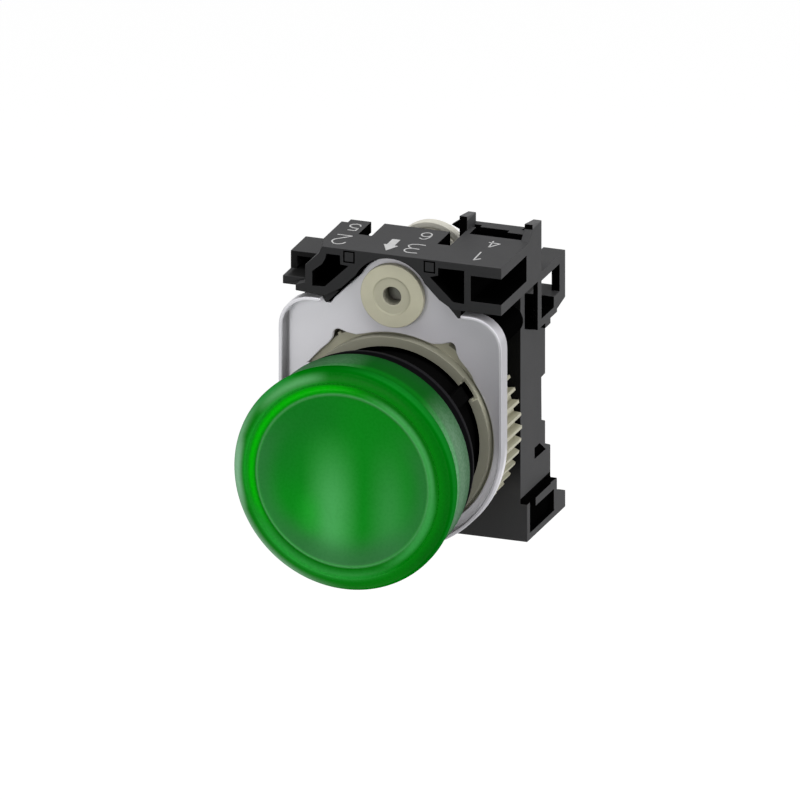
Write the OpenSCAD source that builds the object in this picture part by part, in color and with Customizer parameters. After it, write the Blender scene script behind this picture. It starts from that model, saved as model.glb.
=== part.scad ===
// Panel pilot light: a round 22 mm indicator head with a green lens, clamped to a panel
// from behind by a holder that also carries a slim lamp module.
// X runs to the right, Y away from the viewer, Z up. The origin lies on the head's axis,
// on the panel's front face, where the gasket seals.

/* [Lens] */
// Largest diameter of the lens, at its rounded rim
lens_d = 29.5; // [27:0.1:30.5]
// How far the lens stands in front of the panel
lens_reach = 11.25; // [10:0.05:14]
// Diameter of the lens at the rear end of its skirt
lens_rear_d = 27.56; // [27.2:0.02:28.4]
// Diameter of the dished front face
face_d = 22.8; // [18:0.1:23.4]
// Depth of the dish at the middle of the face
dish = 0.7; // [0.3:0.05:1]
// Wall of the lens
lens_wall = 1.4; // [0.8:0.05:1.6]

/* [Head] */
// Thickness of the black flange between lens and gasket
flange_t = 1.55; // [1:0.05:2]
// Step of the flange beyond the lens skirt
flange_lip = 0.03; // [0:0.01:0.3]
// Thickness of the panel gasket
gasket_t = 0.85; // [0.5:0.05:1.2]
// Outer diameter of the sleeve that passes through the panel
sleeve_d = 22; // [21.2:0.1:22.2]
// Wall of the sleeve
sleeve_wall = 1.2; // [0.9:0.05:1.8]
// Reach of the sleeve behind the panel's front face
sleeve_len = 15.6; // [14:0.1:15.8]
// Height on the sleeve of the key that stops the head turning in the panel
key_h = 1.1; // [0.6:0.05:1.2]
// Width of that key
key_w = 1.95; // [1.5:0.05:3]
// Angle of the key above the horizontal
key_angle = 35; // [20:1:50]

/* [Locking ring] */
// Front face of the ring's hub, behind the panel's front face
ring_front = 7.1; // [6.6:0.05:7.4]
// Rear end of the ring
ring_rear = 15.75; // [15.6:0.05:15.9]
// Height of the bayonet lugs on the sleeve
lug_h = 1.2; // [0.9:0.05:1.3]
// Wall of the ring's hub outside the groove for the lugs
groove_wall = 0.45; // [0.3:0.05:0.6]
// Number of grip fins round the ring
fin_count = 53; // [36:1:60]
// Reach of the fins beyond the hub
fin_h = 1.45; // [1:0.05:1.9]
// Turn of the ring between its locked and its open position
ring_turn = 30; // [20:1:40]

/* [Front plate] */
// Metal left between the hole and the side edge of the plate
plate_margin = 1.67; // [1.2:0.01:2.4]
// Front edge of the plate's rim, behind the panel's front face
rim_front = 6.46; // [6.2:0.02:6.9]
// Depth of the rim in front of the plate's floor
rim_h = 1.54; // [1:0.02:1.7]
// Thickness of the rim
rim_t = 0.5; // [0.4:0.05:0.8]
// Thickness of the plate's floor
floor_t = 0.6; // [0.4:0.05:0.65]
// Metal left between the hole and the plate's shoulders
shoulder_h = 3.95; // [3.5:0.05:4.1]
// Radius of the plate's upper corners
corner_r = 4.2; // [3:0.1:5]

/* [Clamp screw] */
// Width of the square nut across its flats
nut_w = 7; // [5.5:0.1:7.2]
// Gap between the nut and the fins of the locking ring
nut_gap = 0.55; // [0.3:0.05:0.9]
// Diameter of the pressure pad
pad_d = 8.38; // [7:0.02:8.8]
// Thread diameter
screw_d = 4; // [3:0.1:4.4]
// Travel of the pad towards the panel
pad_travel = 6; // [4:0.1:6.2]
// Diameter of the knob at the screw's rear end
knob_d = 10; // [8:0.1:10.2]
// Thickness of the knob
knob_t = 1.3; // [1:0.05:1.6]

/* [Module carrier] */
// Width of the carrier
carrier_w = 29.7; // [29.5:0.02:31]
// Height of the numbered deck above the screw
deck_h = 5.75; // [5.6:0.05:6.5]
// Lowest edge of the carrier below the head's axis
carrier_low = 15.6; // [15.2:0.05:17]
// Front face of the carrier's upright, behind the panel's front face
upright_front = 16; // [16:0.05:16.5]
// Rear end of the carrier
carrier_rear = 30; // [29.6:0.05:33]
// Wall of the carrier's upright parts
wall = 0.9; // [0.7:0.05:1.1]
// Pitch of the three module bays
bay_pitch = 10; // [9.8:0.05:10.2]

/* [Lamp module] */
// Height of the lamp module's top above the head's axis
module_top = 11.9; // [9:0.1:12]
// Wall of the module's housing
module_wall = 0.9; // [0.7:0.05:1.1]
// Thickness of the circuit board
board_t = 1.2; // [0.8:0.1:1.6]
// Diameter of the wire entries in the module's rear
entry_d = 3; // [2:0.1:3.4]

/* [Fits] */
// Sliding clearance on each side
slide_gap = 0.1; // [0.05:0.01:0.15]
// Running clearance round turning curved faces
run_gap = 0.3; // [0.2:0.02:0.35]
// Radial clearance of the threaded and journal fits
thread_gap = 0.05; // [0.03:0.01:0.08]

/* [Hidden] */
$fn = 96;
cut = 0.02;
over = 1;

// Head, from the front backwards
lens_r = lens_d / 2;
lens_rear_r = lens_rear_d / 2;
face_r = face_d / 2;
flange_y = -gasket_t - flange_t;
flange_r = lens_rear_r + flange_lip;
collar_r = lens_rear_r - lens_wall - run_gap;
collar_wall = 1;
seal_t = 0.6;
seal_seat = 0.35;
crest_drop = 1.25;
rim_side_drop = 3;
rim_side_r = lens_r - 0.51;
front_inner_y = -lens_reach + dish + lens_wall;
lens_chamfer = 0.6;
diffuser_t = 0.9;
diffuser_r = collar_r - run_gap;
diffuser_y = front_inner_y + 0.2;
collar_front = diffuser_y + diffuser_t;
sleeve_r = sleeve_d / 2;
sleeve_bore = sleeve_r - sleeve_wall;
reflector_t = 0.7;
reflector_throat = bay_pitch / 2 - wall / 2 - slide_gap - 0.15;
reflector_rear = 13.6;

// Bayonet between the sleeve and the locking ring
lug_count = 3;
lug_arc = 7;
lug_t = 1.8;
lug_r = sleeve_r + lug_h;
groove_r = lug_r + run_gap;
hub_r = groove_r + groove_wall;
fin_r = hub_r + fin_h;
lip_t = 2.3;
lip_r = sleeve_r + 0.68;
lug_y = ring_front + lip_t + slide_gap;
lug_angle = key_angle + ring_turn;
notch_arc = lug_arc + 4;
pocket_arc = 14;
pocket_in_r = hub_r - 0.75;
pocket_t = 0.4;

// Front plate and ring
floor_y = rim_front + rim_h;
plate_back = floor_y + floor_t;
plate_hole_r = hub_r + run_gap;
plate_r = plate_hole_r + plate_margin;
shoulder_z = plate_hole_r + shoulder_h;
screw_z = fin_r + nut_gap + nut_w / 2;
ring_flange_y = plate_back + 0.15;
ring_flange_t = 1.1;
ring_flange_r = fin_r - 0.35;
ring_core_r = hub_r + 0.35;
fin_end_y = ring_rear - 0.4;
fin_tip_w = 0.42;
fin_root_w = 0.85;
ear_fit_r = 13.25;
ear_x = 7.45;
ear_z = 12.15;
ear_tip_r = 0.7;
tab_r = 4.9;
flank_line = screw_z + 6.6;
tab_gap = 0.3;
notch_w = 1.5;
notch_drop = 0.95;
hook_y = rim_front + 0.9;

// Clamp
pad_y = floor_y - 1;
pad_boss_r = 2.4;
pad_boss_end = plate_back + 2;
pad_hole_r = 1.2;
pad_ring_r = 2.46;
pad_step = 0.12;
screw_r = screw_d / 2;
journal_r = pad_hole_r - thread_gap;
journal_len = 1.6;
nut_y = pad_boss_end + 0.3;
nut_t = 3.2;
web_back = nut_y + nut_t + 0.9;
knob_y = web_back + pad_travel + 0.4;
knob_bore_r = knob_d / 2 + run_gap;
knob_slot_w = 0.9;
knob_slot_d = 0.6;

// Carrier
half_w = carrier_w / 2;
side_x = half_w - wall;
deck_top = screw_z + deck_h;
deck_floor_z = shoulder_z + 0.66;
deck_floor_t = 1.49;
deck_skin = 1.47;
bay_back = upright_front - 0.23;
post_rear = upright_front + 5.3;
post_w = 1.11;
head_frame_t = 1.1;
head_skin = 0.4;
deck_rear = upright_front + 1.1;
deck_rear_right = upright_front + 5.9;
front_wall_t = 1.2;
bay_front = upright_front + front_wall_t;
crossbar_y = upright_front + 9.8;
stop_w = 2.65;
stop_low = 7.8;
collar_out_r = groove_r - run_gap;
collar_in_r = sleeve_r + run_gap;
collar_y = lug_y + lug_t + 1.5;
post_r = 1.9;
post_x = plate_r - 2.5;
post_z = shoulder_z - 3.3;
divider_x = bay_pitch / 2;

// Lamp module
module_half_w = divider_x - wall / 2 - slide_gap;
module_low = -carrier_low + wall + slide_gap;
module_front = bay_front + 0.4;
cover_t = 1.2;
housing_front = module_front + cover_t;
module_rear = carrier_rear - 1.6;
nose_r = reflector_throat - 0.4;
nose_bore_r = nose_r - 0.8;
nose_front = reflector_rear + 0.2;
window_t = 0.8;
board_y = housing_front + 1.6;
board_w = 2 * (module_half_w - module_wall) - 0.3;
lamp_w = 3.6;
lamp_r = 1.5;
rectifier_h = 2.6;
limiter_r = 2.1;
spring_reach = 2;
parts_gap = 0.2;
entry_z = [module_top - 3.4, module_low + 3.4];
rectifier_z = entry_z[0] - spring_reach - 0.3 - rectifier_h;
limiter_z = entry_z[1] + spring_reach + parts_gap + limiter_r;
resistor_z = [limiter_z + limiter_r + parts_gap, rectifier_z - parts_gap];
button_w = 2.2;
button_h = 1.8;
button_drop = 3.4;

// The head's axis is Y: a flat outline in X and Z is drawn here and runs backwards from y
module along_y(y, length) {
    translate([0, y, 0]) rotate([90, 0, 0]) mirror([0, 0, 1]) linear_extrude(length) children();
}

// A profile of radius and depth is turned about the head's axis
module turned(points) {
    rotate([90, 0, 0]) mirror([0, 0, 1]) rotate_extrude() polygon(points);
}

// A flat outline in Y and Z is drawn here and runs to the right from x
module along_x(x, length) {
    translate([x, 0, 0]) rotate([90, 0, 90]) linear_extrude(length) children();
}

module disc_y(r, y, length, x = 0, z = 0) {
    along_y(y, length) translate([x, z]) circle(r);
}

module block(x, y, z) {
    translate([x[0], y[0], z[0]]) cube([x[1] - x[0], y[1] - y[0], z[1] - z[0]]);
}

function arc(r, from, to, steps, cx = 0, cy = 0) = [
    for (i = [0:steps]) let (a = from + (to - from) * i / steps) [cx + r * cos(a), cy + r * sin(a)]
];

// A wedge of the circle, as a flat outline, for notches and lugs
module sector(r, middle, width) {
    reach = r / cos(width / 2);
    intersection() {
        circle(r);
        polygon([
            [0, 0],
            [reach * cos(middle - width / 2), reach * sin(middle - width / 2)],
            [reach * cos(middle + width / 2), reach * sin(middle + width / 2)]
        ]);
    }
}

// Green cap: dished face, rounded rim, tapered skirt
module lens() {
    rim_top_r = lens_r - 1.75;
    dish_r = (face_r * face_r + dish * dish) / (2 * dish);
    dish_half = asin(face_r / dish_r);
    face_y = -lens_reach + 0.15;
    dish_line = [
        for (i = [0:8]) let (a = dish_half * i / 8)
            [dish_r * sin(a), face_y + dish - dish_r * (1 - cos(a))]
    ];
    crest_line = [
        for (i = [0:6]) let (a = 90 - 90 * i / 6)
            [rim_top_r + 1.75 * cos(a), -lens_reach + crest_drop * (1 - sin(a))]
    ];
    color([0.02, 0.47, 0.1, 0.75]) turned(concat(
        dish_line,
        [[face_r + 0.12, face_y - 0.02], [face_r + 1, face_y + 0.3]],
        crest_line,
        [
            [rim_side_r, -lens_reach + rim_side_drop],
            [lens_rear_r, flange_y],
            [lens_rear_r - lens_wall, flange_y],
            [lens_rear_r - lens_wall, front_inner_y + lens_chamfer],
            [lens_rear_r - lens_wall - lens_chamfer, front_inner_y],
            [0, front_inner_y]
        ]
    ));
}

// Flat rubber ring in a groove of the head, behind the lens skirt
module lens_seal() {
    seal_r = collar_r;
    color([0.08, 0.08, 0.08]) turned([
        [seal_r - seal_seat, flange_y - seal_t - 0.8],
        [seal_r + run_gap - slide_gap, flange_y - seal_t - 0.8],
        [seal_r + run_gap - slide_gap, flange_y - 0.8],
        [seal_r - seal_seat, flange_y - 0.8]
    ]);
}

// Opal disc that spreads the lamp's light over the lens
module diffuser() {
    color([0.9, 0.94, 0.9, 0.8]) disc_y(diffuser_r, diffuser_y, diffuser_t);
}

// White cone between the lamp and the diffuser
module reflector() {
    rim_r = collar_r - collar_wall - slide_gap;
    bend_y = flange_y + 1.4;
    bend_r = min(sleeve_bore, collar_r - collar_wall) - slide_gap - 0.2;
    color([0.93, 0.93, 0.9]) turned([
        [rim_r, collar_front],
        [rim_r, flange_y - slide_gap],
        [bend_r, flange_y - slide_gap],
        [bend_r, bend_y],
        [reflector_throat + reflector_t, reflector_rear],
        [reflector_throat, reflector_rear],
        [bend_r - reflector_t, bend_y],
        [rim_r - reflector_t, collar_front]
    ]);
}

// Outline of the key from the front, grown by a gap
module key_outline(gap) {
    rotate(key_angle) translate([sleeve_r - 0.5, -key_w / 2 - gap])
        square([key_h + 0.5 + gap, key_w + 2 * gap]);
}

// Black moulding: collar inside the lens, flange, sleeve with key and bayonet lugs
module head_body() {
    groove_y = flange_y - seal_t - 0.8;
    color([0.13, 0.13, 0.14]) union() {
        turned([
            [collar_r - collar_wall, collar_front],
            [collar_r, collar_front],
            [collar_r, groove_y],
            [collar_r - seal_seat, groove_y],
            [collar_r - seal_seat, groove_y + seal_t],
            [collar_r, groove_y + seal_t],
            [collar_r, flange_y],
            [flange_r, flange_y],
            [flange_r, -gasket_t],
            [sleeve_r, -gasket_t],
            [sleeve_r, sleeve_len],
            [sleeve_bore, sleeve_len],
            [sleeve_bore, flange_y],
            [collar_r - collar_wall, flange_y]
        ]);
        along_y(-gasket_t, gasket_t + ring_front - 2 * slide_gap) key_outline(0);
        for (i = [0:lug_count - 1])
            along_y(lug_y, lug_t) difference() {
                sector(lug_r, lug_angle + i * 360 / lug_count, lug_arc);
                circle(sleeve_r - 0.4);
            }
    }
}

// Rubber ring that seals the flange against the panel, notched for the key
module panel_gasket() {
    color([0.07, 0.07, 0.07]) along_y(-gasket_t, gasket_t) difference() {
        circle(flange_r - 0.2);
        circle(sleeve_r + slide_gap);
        key_outline(slide_gap);
    }
}

// Outline of the plate without its tab, shrunk by an inset
module pan_outline(inset) {
    r = plate_r - inset;
    cr = corner_r - inset;
    top = shoulder_z - inset;
    polygon(concat(
        arc(r, 180, 360, 48),
        arc(cr, 0, 90, 8, r - cr, top - cr),
        arc(cr, 90, 180, 8, -r + cr, top - cr)
    ));
}

// Tab round the clamp screw, with 45 degree flanks down to the shoulders, grown by a gap
module tab_outline(gap) {
    line = flank_line + gap * sqrt(2);
    low = shoulder_z - 2;
    shoulder = (line - screw_z) / 2;
    union() {
        translate([0, screw_z]) circle(tab_r + gap);
        polygon([
            [-(line - low), low],
            [line - low, low],
            [shoulder, screw_z + shoulder],
            [-shoulder, screw_z + shoulder]
        ]);
    }
}

// Gap at the root of the tab, between its flank and the end of the shoulder's rim
module root_notch(side, gap) {
    x0 = flank_line - shoulder_z;
    x1 = x0 + notch_w;
    z = shoulder_z - notch_drop;
    mirror([side < 0 ? 1 : 0, 0]) polygon([
        [x0 - over - cut + gap * sqrt(2), shoulder_z + over],
        [x0 + 0.2 - cut + gap, shoulder_z - 0.2],
        [x0 + 0.65 + gap, z + gap],
        [x0 + 1.05, z + gap],
        [x1 - gap, z + 0.45],
        [x1 - gap, shoulder_z + over]
    ]);
}

// Cut-out beside the hole, where the ring's flange shows
module ear_cut(side) {
    mirror([side < 0 ? 1 : 0, 0]) scale(plate_hole_r / ear_fit_r) {
        translate([ear_x, ear_z]) circle(ear_tip_r);
        polygon([
            [2.6, ear_fit_r - 0.3],
            [5.1, 12.35],
            [6.3, 12.5],
            [ear_x - 0.35, ear_z + ear_tip_r * 0.87],
            [ear_x + ear_tip_r, ear_z],
            [8.25, 11.55],
            [8.75, 10.85],
            [9.8, 9.85],
            [11.2, 8.3],
            [9, 8]
        ]);
    }
}

// Pressed metal pan that carries the holder on the ring and takes the clamp screw
module front_plate() {
    color([0.74, 0.74, 0.77]) difference() {
        union() {
            along_y(rim_front, rim_h + floor_t) pan_outline(0);
            along_y(floor_y, floor_t) tab_outline(0);
        }
        along_y(rim_front - over, rim_h + over) pan_outline(rim_t);
        along_y(rim_front - over, rim_h + over) tab_outline(0);
        along_y(floor_y - over, floor_t + 2 * over) circle(plate_hole_r);
        for (side = [-1, 1]) {
            along_y(floor_y - over, floor_t + 2 * over) ear_cut(side);
            along_y(rim_front - over, rim_h + floor_t + 2 * over) root_notch(side, 0);
        }
        disc_y(pad_boss_r + run_gap, floor_y - over, floor_t + 2 * over, 0, screw_z);
    }
}

// Ivory ring: bayonet lip in front, flange behind the plate, grip fins round the outside
module locking_ring() {
    fin = [
        [ring_core_r - 0.3, -fin_root_w / 2],
        [ring_core_r, -fin_root_w / 2],
        [fin_r, -fin_tip_w / 2],
        [fin_r, fin_tip_w / 2],
        [ring_core_r, fin_root_w / 2],
        [ring_core_r - 0.3, fin_root_w / 2]
    ];
    color([0.69, 0.68, 0.59]) difference() {
        union() {
            turned([
                [lip_r, ring_front],
                [hub_r, ring_front],
                [hub_r, ring_flange_y],
                [ring_flange_r, ring_flange_y],
                [ring_flange_r, ring_flange_y + ring_flange_t],
                [ring_core_r, ring_flange_y + ring_flange_t],
                [ring_core_r, ring_rear],
                [groove_r, ring_rear],
                [groove_r, ring_front + lip_t],
                [lip_r, ring_front + lip_t]
            ]);
            for (i = [0:fin_count - 1])
                along_y(ring_flange_y, fin_end_y - ring_flange_y) rotate(i * 360 / fin_count) polygon(fin);
        }
        for (i = [0:lug_count - 1])
            along_y(ring_front - over, lip_t + over + cut)
                sector(groove_r, lug_angle - ring_turn + i * 360 / lug_count, notch_arc);
        for (i = [0:lug_count - 1])
            along_y(ring_front - over, pocket_t + over) difference() {
                sector(hub_r + over, lug_angle - ring_turn + i * 360 / lug_count, pocket_arc);
                circle(pocket_in_r);
            }
    }
}

// Front outline of the numbered deck
module deck_outline() {
    difference() {
        polygon([
            [-7.6, deck_floor_z - 0.4],
            [-9.06, deck_floor_z - 0.21],
            [-12.64, deck_floor_z + 0.04],
            [-12.64, deck_floor_z + 0.8],
            [-11.36, deck_floor_z + 1.29],
            [-11.36, deck_top - 2.74],
            [-9.57, deck_top - 1],
            [-9.1, deck_top],
            [half_w, deck_top],
            [half_w, deck_floor_z],
            [8.4, deck_floor_z],
            [7.6, deck_floor_z - 0.4]
        ]);
        polygon([
            [-10, deck_floor_z - over],
            [10, deck_floor_z - over],
            [0, deck_floor_z - over + 6]
        ]);
        tab_outline(tab_gap);
    }
}

// The three hollow bays of the deck that open at its front
module deck_bays() {
    along_y(rim_front - over, bay_back - rim_front + over) {
        polygon([
            [-8.51, deck_top - 0.93], [-6.72, deck_top - 0.93], [-6.67, deck_top - 2.15],
            [-5.58, deck_top - 2.2], [-8.73, deck_floor_z + 1.04], [-10.38, deck_floor_z + 0.94],
            [-10.38, deck_top - 3.46], [-9.06, deck_top - 2.36], [-8.63, deck_top - 1.55]
        ]);
        polygon([
            [6.42, deck_top - 1], [9.87, deck_top - 0.94], [9.87, deck_floor_z + 0.99],
            [8.4, deck_floor_z + 1.08], [5.33, deck_top - 2.34], [6.42, deck_top - 2]
        ]);
        polygon([
            [10.77, deck_top - deck_skin], [half_w + over, deck_top - deck_skin],
            [half_w + over, deck_floor_z + deck_floor_t], [10.77, deck_floor_z + deck_floor_t]
        ]);
    }
}

// Shallow square outline on the deck's front face
module square_mark(x, z) {
    along_y(rim_front - over, over + 0.25) translate([x, z]) difference() {
        square([1.5, 1.55], center = true);
        square([1.2, 1.25], center = true);
    }
}

// Post at the rear of the deck, with a ramp of the given length in front of it
module deck_post(x, w, ramp) {
    post_y = upright_front + 2;
    along_x(x, w) polygon([
        [post_y - ramp, deck_top - deck_skin],
        [post_y - ramp, deck_top - cut],
        [post_y, deck_top - cut + (ramp > 0 ? 1.25 : 0)],
        [post_y, deck_top + 1.9],
        [post_rear, deck_top + 1.4],
        [post_rear, deck_top - deck_skin]
    ]);
    along_y(post_rear - 0.6, 0.6) polygon([
        [x - 2.05, deck_top - 0.45],
        [x + 0.1, deck_top - 1.45],
        [x + 0.1, deck_top + 1.1]
    ]);
}

module deck() {
    difference() {
        union() {
            along_y(rim_front, deck_rear - rim_front) deck_outline();
            translate([0, 0, deck_top - 2.7]) linear_extrude(2.7) polygon([
                [-6, rim_front + cut], [-9.1, rim_front + cut], [-9.95, rim_front + 2.9],
                [-9.95, upright_front], [-6, upright_front]
            ]);
            block([-half_w, -9.9], [rim_front + 4.3, upright_front + 0.3], [deck_floor_z, deck_top - 2.7]);
            block([-half_w, -9.9], [rim_front + 1.4, upright_front + 0.3],
                [deck_floor_z + 0.2, deck_floor_z + 1.3]);
            along_y(plate_back, web_back - plate_back) polygon([
                [-7.4, shoulder_z - 1], [7.4, shoulder_z - 1],
                [7.4, deck_top - 2], [3, deck_top - 0.5], [-3, deck_top - 0.5], [-7.4, deck_top - 2]
            ]);
        }
        deck_bays();
        block([-14, -11.4], [rim_front, upright_front - 1], [deck_floor_z + 1.3, deck_top - 3.4]);
        block([-6.35, -4.6], [upright_front - 3.7, deck_rear + over], [shoulder_z, deck_top + over]);
        block([4.2, 5.9], [upright_front - 3.7, deck_rear + over], [shoulder_z, deck_top + over]);
        block([-9.2, -4.6], [upright_front + 0.3, deck_rear + over],
            [deck_floor_z - over, deck_top - deck_skin]);
        square_mark(-5.5, deck_top - 1);
        square_mark(5.24, deck_top - 1);
    }
    difference() {
        union() {
            block([5.9, half_w], [bay_back, deck_rear_right], [deck_top - deck_skin, deck_top]);
            block([5.05, half_w], [deck_rear_right - 2.7, deck_rear_right], [deck_top - deck_skin, deck_top]);
            block([side_x, half_w], [bay_back, deck_rear_right - 0.6], [deck_floor_z, deck_top]);
            block([5.9, half_w], [bay_back, deck_rear], [deck_floor_z, deck_top]);
        }
        block([6.7, 13.6], [deck_rear + 0.1, deck_rear + 2.1], [deck_floor_z - over, deck_top + over]);
        block([6.7, 11], [deck_rear + 0.1, deck_rear + 2.9], [deck_floor_z - over, deck_top + over]);
        block([5.9, 7.1], [deck_rear + 2.6, deck_rear_right - 1.2], [deck_floor_z - over, deck_top + over]);
        block([half_w - post_w, half_w + over], [post_rear, deck_rear_right + over],
            [deck_floor_z - over, deck_top + over]);
    }
    deck_post(5.05, 1.05, 0);
    deck_post(half_w - post_w, post_w, 1.4);
}

// Stepped rear edge of an upright wall, seen from the side
module wall_outline() {
    f = upright_front;
    polygon([
        [f, -carrier_low], [f, deck_floor_z + 0.3], [f + 6, deck_floor_z + 0.3],
        [f + 6, 12.4], [f + 10.5, 12.4], [f + 10.5, 11.4], [f + 9.1, 11.4],
        [f + 9.1, 3.75], [f + 7.7, 3.7], [f + 7.8, -2],
        [f + 9.1, -2.55], [f + 9.1, -5.6], [f + 11, -6.4], [f + 11, -carrier_low + 2.2],
        [carrier_rear - 0.6, -carrier_low + 2.2], [carrier_rear - 0.6, -carrier_low]
    ]);
}

// Openings in the two outer walls
module wall_windows() {
    f = upright_front;
    polygon([
        [f + 1.57, deck_floor_z], [f + 1.57, 12.25], [f + 3.88, 11.38], [f + 6.35, 11.38],
        [f + 6.35, deck_floor_z]
    ]);
}

// Small pocket sunk half way into each outer wall
module wall_pocket() {
    f = upright_front;
    polygon([[f + 5.2, -4.9], [f + 7.1, -4.9], [f + 9.2, -6.4], [f + 5.2, -6.35]]);
}

// Outer frame at the foot of the wall, one wall prouder than the wall itself
module foot_frame_outline() {
    f = upright_front;
    low = -carrier_low;
    difference() {
        polygon([
            [f, low], [f, low + 5], [f + 1.04, low + 5], [f + 1.04, low + 5.65],
            [f + 10.95, low + 4.9], [f + 10.95, low + 3.35], [carrier_rear - 1.6, low + 2.75],
            [carrier_rear, low + 2.2], [carrier_rear, low]
        ]);
        polygon([
            [f + 1.04, low + 6], [f + 1.04, low + 0.85], [f + 5, low + 0.85], [f + 5.34, low + 0.5],
            [f + 10.2, low + 0.5], [f + 9.81, low + 1.15], [f + 9.81, low + 3.75],
            [f + 3.14, low + 3.8], [f + 3.14, low + 4.9], [f + 8.67, low + 4.9], [f + 8.67, low + 6]
        ]);
    }
}

// Outer frame at the top of the wall, with the window that looks through the bay
module head_frame_outline() {
    f = upright_front;
    difference() {
        polygon([
            [f + 3.88, 11.38], [f + 3.88, deck_floor_z + 0.5], [f + 5.3, deck_floor_z + 0.84],
            [carrier_rear, deck_floor_z + 0.84], [carrier_rear, 12.4], [f + 11, 11.8],
            [f + 11, 11.4], [f + 8.6, 11.4], [f + 8.6, 10.7], [f + 6.6, 10.7], [f + 6.6, 11.38]
        ]);
        polygon([
            [f + 5.3, 12.45], [f + 9.8, 12.45], [f + 9.8, 13.85], [f + 11.88, 13.85],
            [f + 11.88, deck_floor_z - 0.36], [f + 5.3, deck_floor_z - 0.36]
        ]);
    }
}

// Black carrier: numbered deck, upright with three module bays, collar for the ring
module module_carrier() {
    color([0.2, 0.2, 0.21]) difference() {
        union() {
            deck();
            along_y(upright_front, front_wall_t) translate([-side_x, -carrier_low])
                square([2 * side_x, carrier_low + deck_floor_z + 0.3]);
            disc_y(collar_out_r, collar_y, upright_front - collar_y + cut);
            for (side = [-1, 1]) {
                disc_y(post_r, plate_back, upright_front - plate_back + cut, side * post_x, post_z);
                along_y(hook_y, upright_front - hook_y) root_notch(side, 2 * slide_gap);
                along_x(side * (side_x - wall / 2) - wall / 2, wall) difference() {
                    wall_outline();
                    wall_windows();
                }
                along_x(side * divider_x - wall / 2, wall) wall_outline();
                along_x(side * (side_x + wall / 2) - wall / 2, wall) foot_frame_outline();
                along_x(side * (half_w - head_frame_t / 2) - head_frame_t / 2, head_frame_t)
                    head_frame_outline();
            }
            block([-half_w, half_w], [upright_front, carrier_rear], [-carrier_low, -carrier_low + wall]);
            block([-side_x, side_x], [carrier_rear - 1.3, carrier_rear], [-carrier_low, -carrier_low + 2.2]);
            block([-half_w, half_w], [crossbar_y, carrier_rear], [12.4, 13.85]);
            for (side = [-1, 1])
                along_y(crossbar_y, wall) mirror([side < 0 ? 1 : 0, 0])
                    translate([side_x - wall - stop_w, stop_low]) square([stop_w, 12.4 - stop_low + cut]);
            block([half_w - 2.95, half_w], [upright_front + 5.3, carrier_rear],
                [deck_floor_z - 0.36, deck_floor_z + 0.84]);
        }
        disc_y(collar_in_r, collar_y - over, bay_front - collar_y + 2 * over);
        disc_y(pad_boss_r + run_gap, plate_back - over, nut_y - plate_back + over + cut, 0, screw_z);
        block([-nut_w / 2 - slide_gap, nut_w / 2 + slide_gap], [nut_y - slide_gap, nut_y + nut_t + slide_gap],
            [shoulder_z - 2, screw_z + nut_w / 2 + slide_gap]);
        disc_y(screw_r + run_gap, nut_y, web_back - nut_y + over, 0, screw_z);
        disc_y(knob_bore_r, web_back, carrier_rear - web_back + over, 0, screw_z);
        for (side = [-1, 1])
            along_x(side * (side_x - over) - (side < 0 ? half_w - head_skin - side_x + over : 0),
                half_w - head_skin - side_x + over)
                translate([upright_front + 3.8, 11.6]) square([1.4, deck_floor_z - 11.6]);
        for (side = [-1, 1])
            along_x(side > 0 ? side_x - wall / 2 : -side_x - over, wall / 2 + over) wall_pocket();
    }
}

// Ivory pad that presses on the back of the panel
module clamp_pad() {
    color([0.69, 0.68, 0.59]) difference() {
        union() {
            disc_y(pad_d / 2, pad_y, floor_y - pad_y, 0, screw_z);
            disc_y(pad_boss_r, floor_y - cut, pad_boss_end - floor_y + cut, 0, screw_z);
        }
        disc_y(pad_ring_r, pad_y - over, over + pad_step, 0, screw_z);
        disc_y(pad_hole_r, pad_y - over, pad_boss_end - pad_y + 2 * over, 0, screw_z);
    }
}

// Steel screw: journal in the pad, thread through the nut, plain end in the knob
module clamp_screw() {
    color([0.66, 0.66, 0.68]) union() {
        disc_y(journal_r, pad_boss_end - journal_len, journal_len + cut, 0, screw_z);
        disc_y(screw_r, pad_boss_end, knob_y - pad_boss_end, 0, screw_z);
        disc_y(journal_r, knob_y - cut, knob_t - knob_slot_d, 0, screw_z);
    }
}

// Ivory knob at the rear of the screw, with a cross slot for the driver
module clamp_knob() {
    color([0.84, 0.83, 0.77]) difference() {
        disc_y(knob_d / 2, knob_y, knob_t, 0, screw_z);
        disc_y(journal_r, knob_y - over, over + knob_t - knob_slot_d, 0, screw_z);
        for (turn = [0, 90])
            along_y(knob_y + knob_t - knob_slot_d, knob_slot_d + over) translate([0, screw_z]) rotate(turn)
                square([5.4, knob_slot_w], center = true);
        along_y(knob_y - over, over + 0.25) translate([0, screw_z]) difference() {
            circle(knob_d / 2 - 0.7);
            circle(knob_d / 2 - 1);
        }
    }
}

// Square steel nut, held from turning by its pocket in the carrier
module clamp_nut() {
    color([0.78, 0.68, 0.4]) along_y(nut_y, nut_t) translate([0, screw_z]) difference() {
        square([nut_w, nut_w], center = true);
        circle(screw_r + thread_gap);
    }
}

// Outline of the lamp module from the front, shrunk by an inset
module module_outline(inset) {
    translate([-module_half_w + inset, module_low + inset])
        square([2 * (module_half_w - inset), module_top - module_low - 2 * inset]);
}

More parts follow.
